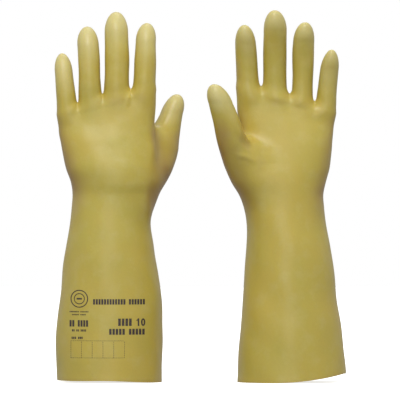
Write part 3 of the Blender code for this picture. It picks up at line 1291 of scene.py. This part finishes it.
@dataclass
class Shell:
    """A closed shell: some quads of a skin, the same quads a wall further in, and a rim."""

    skin: Skin
    chosen: np.ndarray
    wall: float
    extras: dict[str, np.ndarray]

    def rim_edges(self, quads: np.ndarray) -> np.ndarray:
        """The edges that only one quad uses, in that quad's order.

        Args:
            quads: Four point numbers each.

        Returns:
            Two point numbers for each edge.
        """
        edges = np.concatenate([quads[:, (i, (i + 1) % 4)] for i in range(4)])
        pairs = np.sort(edges, axis=1)
        _, first, count = np.unique(pairs, axis=0, return_index=True, return_counts=True)
        return edges[first[count == 1]]

    def object(self, name: str, finishes: Sequence[Any]) -> bpy.types.Object:
        """Makes the shell's object.

        Args:
            name: Its name.
            finishes: The outside's finish and, if it differs, the inside's.

        Returns:
            The object, whose shading follows the whole skin across its borders.
        """
        used, quads = np.unique(self.skin.quads[self.chosen], return_inverse=True)
        quads = quads.reshape(-1, 4)
        outer, normals = self.skin.points[used], self.skin.normals[used]
        count = len(used)
        edges = self.rim_edges(quads)
        rim = np.stack([edges[:, 1], edges[:, 0], edges[:, 0] + count, edges[:, 1] + count], axis=1)
        points = np.concatenate([outer, outer - normals * self.wall])
        points[:, 2] = np.maximum(points[:, 2], 0.0)
        faces = np.concatenate([quads, quads[:, ::-1] + count, rim])
        mesh = bpy.data.meshes.new(name)
        mesh.from_pydata(points.tolist(), [], faces.tolist())
        mesh.shade_smooth()
        for finish in finishes:
            mesh.materials.append(dressed(finish))
        if len(finishes) > 1:
            inside = np.zeros(len(faces), int)
            inside[len(quads) : 2 * len(quads)] = 1
            mesh.polygons.foreach_set("material_index", inside)
        for key, values in self.extras.items():
            self.note(mesh, key, np.concatenate([values[used], values[used]]))
        first, second, third = (points[rim[:, corner]] for corner in range(3))
        rim_way = np.cross(second - first, third - first)
        rim_way /= np.maximum(np.linalg.norm(rim_way, axis=1), 1e-12)[:, None]
        corners = [normals[quads].reshape(-1, 3), -normals[quads[:, ::-1]].reshape(-1, 3)]
        corners.append(np.repeat(rim_way, 4, axis=0))
        mesh.normals_split_custom_set(np.concatenate(corners).tolist())
        made = bpy.data.objects.new(name, mesh)
        bpy.context.scene.collection.objects.link(made)
        return made

    @staticmethod
    def note(mesh: bpy.types.Mesh, key: str, values: np.ndarray) -> None:
        """Writes values to the mesh's points, for the finishes to read.

        Args:
            mesh: The mesh.
            key: The name that the finishes read it by.
            values: A number or a vector for each point.
        """
        kind, slot = ("FLOAT", "value") if values.ndim == 1 else ("FLOAT_VECTOR", "vector")
        made = mesh.attributes.new(key, kind, "POINT")
        made.data.foreach_set(slot, np.ascontiguousarray(values, np.float32).ravel())


# --- The print on the cuffs ---


@dataclass(frozen=True)
class Bar:
    """A block of ink, in millimetres; it may lean, so that its top is further across."""

    low: tuple[float, float]
    high: tuple[float, float]
    lean: float = 0.0

    def sheet(self, cell: float) -> tuple[np.ndarray, np.ndarray]:
        """Cuts the block into cells.

        Args:
            cell: The largest cell's size.

        Returns:
            The places of its corners, U and Z, and its quads.
        """
        (u0, z0), (u1, z1) = self.low, self.high
        across, up = (max(1, math.ceil(span / cell)) for span in (u1 - u0, z1 - z0))
        i, j = np.meshgrid(np.arange(across + 1), np.arange(up + 1), indexing="ij")
        u = u0 + (u1 - u0) * i / across + self.lean * j / up
        places = np.stack([u, z0 + (z1 - z0) * j / up], axis=-1)
        number = i * (up + 1) + j
        ring = (number[:-1, :-1], number[1:, :-1], number[1:, 1:], number[:-1, 1:])
        return places.reshape(-1, 2), np.stack(ring, axis=-1).reshape(-1, 4)


@dataclass(frozen=True)
class Ring:
    """A ring of ink, round or upright, in millimetres."""

    middle: tuple[float, float]
    reach: tuple[float, float]
    line: float
    parts: int = 40

    def sheet(self, cell: float) -> tuple[np.ndarray, np.ndarray]:
        """Cuts the ring into cells.

        Args:
            cell: Unused: a ring has a set number of parts.

        Returns:
            The places of its corners, U and Z, and its quads.
        """
        turn = np.linspace(0.0, 2.0 * math.pi, self.parts, endpoint=False)
        way = np.stack([np.cos(turn), np.sin(turn)], axis=1)
        reach = np.array(self.reach)
        places = np.concatenate([way * (reach - self.line), way * reach]) + np.array(self.middle)
        here = np.arange(self.parts)
        after = (here + 1) % self.parts
        return places, np.stack([here, here + self.parts, after + self.parts, after], axis=1)


def words(low: tuple[float, float], high: tuple[float, float], lengths: Sequence[int]) -> list[Bar]:
    """A line of plain blocks, grouped as a line of print is.

    Args:
        low: The line's lower left corner, in millimetres.
        high: Its upper right corner.
        lengths: How many blocks each group has.

    Returns:
        The blocks.
    """
    slots = sum(lengths) + len(lengths) - 1
    pitch = (high[0] - low[0]) / slots
    bars, slot = [], 0
    for length in lengths:
        for _ in range(length):
            start = low[0] + pitch * slot
            bars.append(Bar((start, low[1]), (start + pitch * 0.72, high[1])))
            slot += 1
        slot += 1
    return bars


@dataclass
class Print:
    """The print on the back of a cuff: a plain number, blocks and an empty grid.

    All sizes are in millimetres, U and Z in the glove's own frame.
    """

    glove: Glove
    cell: float = 1.4
    film: float = 0.08
    sunk: float = 0.02
    seal_middle: tuple[float, float] = (-29.0, 81.5)
    seal_reach: float = 8.6
    grid_low: tuple[float, float] = (-37.4, 24.3)
    grid_high: tuple[float, float] = (14.6, 40.8)
    grid_cells: int = 5
    dash: float = 1.9

    def marks(self) -> list[Bar | Ring]:
        """The dark marks: the seal, the lines of blocks and the number ten.

        Returns:
            The marks.
        """
        (u, z), reach = self.seal_middle, self.seal_reach
        marks: list[Bar | Ring] = [
            Ring((u, z), (reach, reach), 0.9, 56),
            Ring((u, z), (reach * 0.62, reach * 0.62), 0.8, 44),
            Bar((u - reach * 0.30, z - 0.8), (u + reach * 0.30, z + 0.8)),
        ]
        marks += words((-38.5, 68.4), (-19.8, 69.5), (7, 6))
        marks += words((-36.0, 65.6), (-22.4, 66.7), (5, 4))
        marks += words((-38.5, 54.6), (-19.7, 60.8), (2, 4))
        marks += words((-36.0, 49.9), (-22.0, 52.0), (2, 2, 4))
        marks += words((-15.6, 76.0), (35.0, 81.2), (12, 6))
        marks += words((8.7, 55.4), (22.6, 62.5), (4,))
        marks += words((0.0, 46.9), (35.0, 52.6), (5, 5))
        marks += words((-36.5, 42.6), (-25.3, 44.9), (3, 3))
        return marks + self.number_ten((26.0, 55.2), 7.4)

    @staticmethod
    def number_ten(corner: tuple[float, float], height: float) -> list[Bar | Ring]:
        """The plain number 10.

        Args:
            corner: Its lower left corner, in millimetres.
            height: Its height.

        Returns:
            The marks that form it.
        """
        u, z = corner
        thick, wide = height * 0.20, height * 0.56
        flag = ((u - thick * 0.1, z + height * 0.70), (u + thick * 0.75, z + height * 0.86))
        stem = Bar((u + thick, z), (u + thick * 2.0, z + height))
        middle = (u + thick * 3.1 + wide / 2.0, z + height / 2.0)
        return [stem, Bar(*flag, thick * 0.7), Ring(middle, (wide / 2.0, height / 2.0), thick)]

    def grid(self) -> list[Bar | Ring]:
        """The empty boxes, drawn with dashes.

        Returns:
            One mark for each dash.
        """
        (u0, z0), (u1, z1) = self.grid_low, self.grid_high
        line = 0.45
        marks: list[Bar | Ring] = []
        count = round((u1 - u0) / self.dash)
        for z in (z0, z1):
            for i in range(count):
                start = u0 + (u1 - u0) * i / count
                marks.append(Bar((start, z), (start + self.dash * 0.62, z + line)))
        count = round((z1 - z0) / self.dash)
        for i in range(self.grid_cells + 1):
            u = u0 + (u1 - u0) * i / self.grid_cells
            for j in range(count):
                start = z0 + (z1 - z0) * j / count
                marks.append(Bar((u, start), (u + line, start + self.dash * 0.62)))
        return marks

    def lay(self, name: str, marks: Sequence[Bar | Ring], finish: InkFinish) -> None:
        """Lays marks on the cuff as a thin film of ink.

        Args:
            name: The piece, without the glove's name.
            marks: What to lay.
            finish: The ink.
        """
        glove = self.glove
        places, quads, count = [], [], 0
        for mark in marks:
            corners, ring = mark.sheet(self.cell)
            places.append(corners)
            quads.append(ring + count)
            count += len(corners)
        flat = np.concatenate(places) * MM
        behind = np.full(count, -200.0 * MM)
        start = glove.pattern.outward(np.stack([flat[:, 0], behind, flat[:, 1]], axis=1))
        way = glove.pattern.turned(np.array([0.0, 1.0, 0.0]))
        found = [glove.surface.ray_cast(place, way) for place in start.tolist()]
        points = np.array([hit[0] for hit in found])
        normals = np.array([hit[1] for hit in found])
        top = points + normals * (self.film - self.sunk) * MM
        film = Skin(top, np.concatenate(quads), normals)
        shell = Shell(film, np.ones(len(film.quads), bool), self.film * MM, {"rest_place": points})
        made = shell.object(f"{glove.name}_{name}", (finish,))
        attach(made, glove.name)
        LOG.info("%s: %d marks", made.name, len(marks))

    def build(self) -> None:
        """Lays the dark marks and the faint grid."""
        self.lay("print", self.marks(), INK)
        self.lay("print_grid", self.grid(), FAINT_INK)


# --- The studio ---


@dataclass
class Studio:
    """The pale floor, the soft lights and the camera. Sizes are in metres."""

    floor_reach: float = 7.0
    surround: float = 0.50
    camera_at: tuple[float, float, float] = (-0.0005, -6.48, 0.1769)
    lens: float = 600.0
    sensor: float = 36.0

    def build(self) -> None:
        """Sets up everything round the object."""
        self.floor()
        self.world()
        self.softbox("key", (-0.25, -2.0, 3.3), (0.0, 0.0, 0.25), 1.7, 54.0)
        self.softbox("front", (-0.3, -4.0, 1.2), (0.0, 0.0, 0.20), 2.4, 26.0)
        self.softbox("back", (0.4, 1.6, 3.6), (0.0, 0.0, 0.22), 1.8, 20.0)
        self.camera()

    def floor(self) -> None:
        """The floor: a round pale sheet, much wider than the view."""
        rings, parts = 12, 96
        radius = self.floor_reach * (np.arange(1, rings + 1) / rings) ** 2
        turn = np.linspace(0.0, 2.0 * math.pi, parts, endpoint=False)
        points = [(0.0, 0.0, 0.0)]
        points += [(r * math.cos(t), r * math.sin(t), 0.0) for r in radius for t in turn]
        faces = [(0, 1 + i, 1 + (i + 1) % parts) for i in range(parts)]
        for ring in range(rings - 1):
            inner, outer = 1 + ring * parts, 1 + (ring + 1) * parts
            for i in range(parts):
                j = (i + 1) % parts
                faces.append((inner + i, outer + i, outer + j, inner + j))
        mesh = bpy.data.meshes.new("studio_floor")
        mesh.from_pydata(points, [], faces)
        mesh.materials.append(dressed(PAPER))
        sheet = bpy.data.objects.new("studio_floor", mesh)
        bpy.context.scene.collection.objects.link(sheet)
        sheet.visible_diffuse = False
        sheet.visible_glossy = False

    def world(self) -> None:
        """A white surround, which lights the gloves less than it shows."""
        world = bpy.data.worlds.new("studio_light")
        world.use_nodes = True
        nodes, links = world.node_tree.nodes, world.node_tree.links
        lit = nodes["Background"]
        place = nodes.new("ShaderNodeSeparateXYZ")
        links.new(nodes.new("ShaderNodeTexCoord").outputs["Generated"], place.inputs[0])
        ramp = nodes.new("ShaderNodeMapRange")
        links.new(place.outputs["Z"], ramp.inputs["Value"])
        ends = {"From Min": -0.6, "From Max": 0.9, "To Min": 0.55, "To Max": 1.4}
        for key, value in ends.items():
            ramp.inputs[key].default_value = value
        links.new(ramp.outputs["Result"], lit.inputs["Color"])
        lit.inputs["Strength"].default_value = self.surround
        seen = nodes.new("ShaderNodeBackground")
        seen.inputs["Color"].default_value = (1.0, 1.0, 1.0, 1.0)
        mixed = nodes.new("ShaderNodeMixShader")
        links.new(nodes.new("ShaderNodeLightPath").outputs["Is Camera Ray"], mixed.inputs[0])
        links.new(lit.outputs[0], mixed.inputs[1])
        links.new(seen.outputs[0], mixed.inputs[2])
        links.new(mixed.outputs[0], nodes["World Output"].inputs["Surface"])
        bpy.context.scene.world = world

    def softbox(
        self,
        name: str,
        at: tuple[float, float, float],
        aim: tuple[float, float, float],
        size: float,
        power: float,
    ) -> None:
        """Adds a square area light.

        Args:
            name: Its name.
            at: Where it stands.
            aim: The point that it faces.
            size: Its side.
            power: Its power in watts.
        """
        light = bpy.data.lights.new(name, "AREA")
        light.shape = "SQUARE"
        light.size = size
        light.energy = power
        made = bpy.data.objects.new(name, light)
        made.location = at
        way = Vector(aim) - Vector(at)
        made.rotation_euler = way.to_track_quat("-Z", "Y").to_euler()
        bpy.context.scene.collection.objects.link(made)

    def camera(self) -> None:
        """A long lens, level with the middle of the gloves."""
        camera = bpy.data.cameras.new("camera")
        camera.lens = self.lens
        camera.sensor_width = self.sensor
        camera.clip_end = 50.0
        made = bpy.data.objects.new("camera", camera)
        made.location = self.camera_at
        made.rotation_euler = (math.pi / 2.0, 0.0, 0.0)
        bpy.context.scene.collection.objects.link(made)
        bpy.context.scene.camera = made
        bpy.context.scene.view_settings.view_transform = "Standard"


GLOVE_A = Glove(
    name="glove_a",
    facing=Facing.BACK,
    rim=Rim(wave=1.3, slant=1.8, slant_from=48.0, slant_to=-50.0, bow=1.0),
    unevenness=Unevenness(seed=11, amplitude=0.34, longest=62.0, shortest=22.0),
    creases=(
        Crease(((-5.0, 281.0), (-8.4, 276.5), (-12.2, 271.0)), 1.0, 2.3, False),
        Crease(((20.4, 282.0), (18.4, 276.0), (16.0, 267.5)), 1.0, 2.3, False),
        Crease(((-31.5, 271.0), (-34.6, 267.5), (-38.3, 262.5)), 0.9, 2.6, False),
        Crease(((36.5, 196.0), (36.0, 178.0), (39.5, 150.0)), 1.3, 4.5, False),
    ),
    pads=(
        Pad((-45.0, 184.0), (9.0, 7.0), -1.0, False),
        Pad((42.0, 226.0), (5.5, 13.0), 1.7, False),
    ),
    thumb_root=(
        (150.0, 8.0, 0.0, 7.0), (168.0, 16.0, 3.0, 9.0), (182.0, 25.0, 8.0, 11.0),
        (194.0, 34.5, 13.0, 12.3), (206.0, 43.4, 18.0, 13.2),
    ),
    thumb_fillet=23.0,
    trims=(
        Trim("index", 0.0, 0.8),
        Trim("middle", 1.2, -0.6),
        Trim("ring", 1.2, 0.0),
        Trim("little", 1.2, 0.6),
    ),
    hand_depths=(
        (158.0, 37.2), (172.0, 35.0), (187.0, 33.8), (196.0, 34.6), (206.0, 33.4), (216.0, 30.2),
        (228.0, 25.6), (240.0, 21.0), (252.0, 16.8), (262.0, 13.6), (271.0, 11.2),
    ),
    # patches of painted shade on the palm's little finger side and round the thumb's root
    shaded_patches=(
        ShadePatch((42.0, 178.0), (7.0, 16.0), 0.36, False),
        ShadePatch((-45.0, 210.0), (9.0, 26.0), 0.30, False),
        ShadePatch((-36.0, 190.0), (9.0, 9.0), 0.25, False),
        ShadePatch((55.0, 205.0), (7.0, 18.0), 0.28, False),
        ShadePatch((42.0, 240.0), (3.0, 6.0), 0.18, False),
    ),
    thenar_rows=(
        (165.0, 12.0, 4.0, 9.0, 9.0), (182.0, 22.0, 9.0, 12.0, 11.0),
        (200.0, 31.0, 13.0, 15.0, 13.0), (214.0, 39.0, 17.0, 13.0, 12.0),
        (226.0, 46.0, 21.0, 10.0, 10.0),
    ),
)
GLOVE_B = Glove(
    name="glove_b",
    facing=Facing.PALM,
    rim=Rim(wave=0.0, slant=9.0, slant_from=28.0, slant_to=-53.0),
    unevenness=Unevenness(seed=23, amplitude=0.36, longest=60.0, shortest=22.0),
    creases=(
        Crease(
            ((54.0, 249.0), (47.5, 240.5), (40.0, 233.5), (32.0, 229.0), (24.0, 228.0)),
            1.2,
            3.4,
            True,
        ),
        Crease(((52.0, 238.0), (45.5, 230.0), (38.0, 224.5)), -0.7, 2.6, True),
        Crease(((53.0, 220.5), (44.0, 218.5), (33.0, 213.5)), 0.9, 2.6, True),
    ),
    pads=(
        Pad((34.0, 275.0), (6.0, 6.0), 0.7, True),
        Pad((10.5, 275.5), (9.0, 5.0), 1.1, True),
        Pad((-8.0, 273.0), (7.0, 5.0), 1.0, True),
        Pad((-25.0, 261.0), (10.0, 5.0), 1.0, True),
        Pad((-45.0, 184.0), (9.0, 7.0), -1.0, True),
    ),
    thumb_root=(
        (150.0, 12.0, 0.0, 8.0), (168.0, 22.0, 3.0, 10.0), (181.0, 31.0, 8.0, 12.0),
        (192.0, 39.0, 12.5, 13.4), (205.0, 47.0, 18.0, 14.2),
    ),
    thumb_fillet=18.0,
    knuckle_waist=2.5,
    trims=(
        Trim("index", 0.0, 0.4),
        Trim("middle", 0.7, 0.0),
        Trim("ring", 3.4, 0.2),
        Trim("little", 2.0, 0.6),
    ),
    hand_depths=(
        (158.0, 37.6), (172.0, 35.6), (187.0, 34.2), (200.0, 32.4), (214.0, 29.2), (228.0, 25.2),
        (240.0, 21.2), (252.0, 17.2), (262.0, 14.0), (271.0, 11.4),
    ),
    # patches of painted shade on the thumb, by the wrist and on the fingers
    shaded_patches=(
        ShadePatch((66.0, 240.0), (6.0, 24.0), 0.42, True),
        ShadePatch((48.0, 193.0), (6.0, 14.0), 0.12, True),
        ShadePatch((-32.0, 183.0), (7.0, 8.0), 0.35, True),
        ShadePatch((-12.0, 328.0), (9.0, 13.0), 0.30, True),
        ShadePatch((18.0, 336.0), (9.0, 9.0), 0.25, True),
        ShadePatch((-37.0, 309.0), (8.0, 9.0), 0.25, True),
        ShadePatch((52.0, 318.0), (5.0, 24.0), 0.30, True),
    ),
    thenar_rows=(
        (165.0, 12.0, 4.0, 9.0, 9.0), (182.0, 22.0, 9.0, 12.0, 11.0),
        (200.0, 31.0, 13.0, 15.0, 13.0), (212.0, 39.0, 16.0, 12.0, 10.5),
    ),
)


def main() -> None:
    """Builds the gloves, their print and the studio, in order."""
    logging.basicConfig(level=logging.INFO, format="%(name)s: %(message)s")
    for glove in (GLOVE_A, GLOVE_B):
        glove.build()
        Print(glove).build()
    Studio().build()


if __name__ == "__main__":
    main()
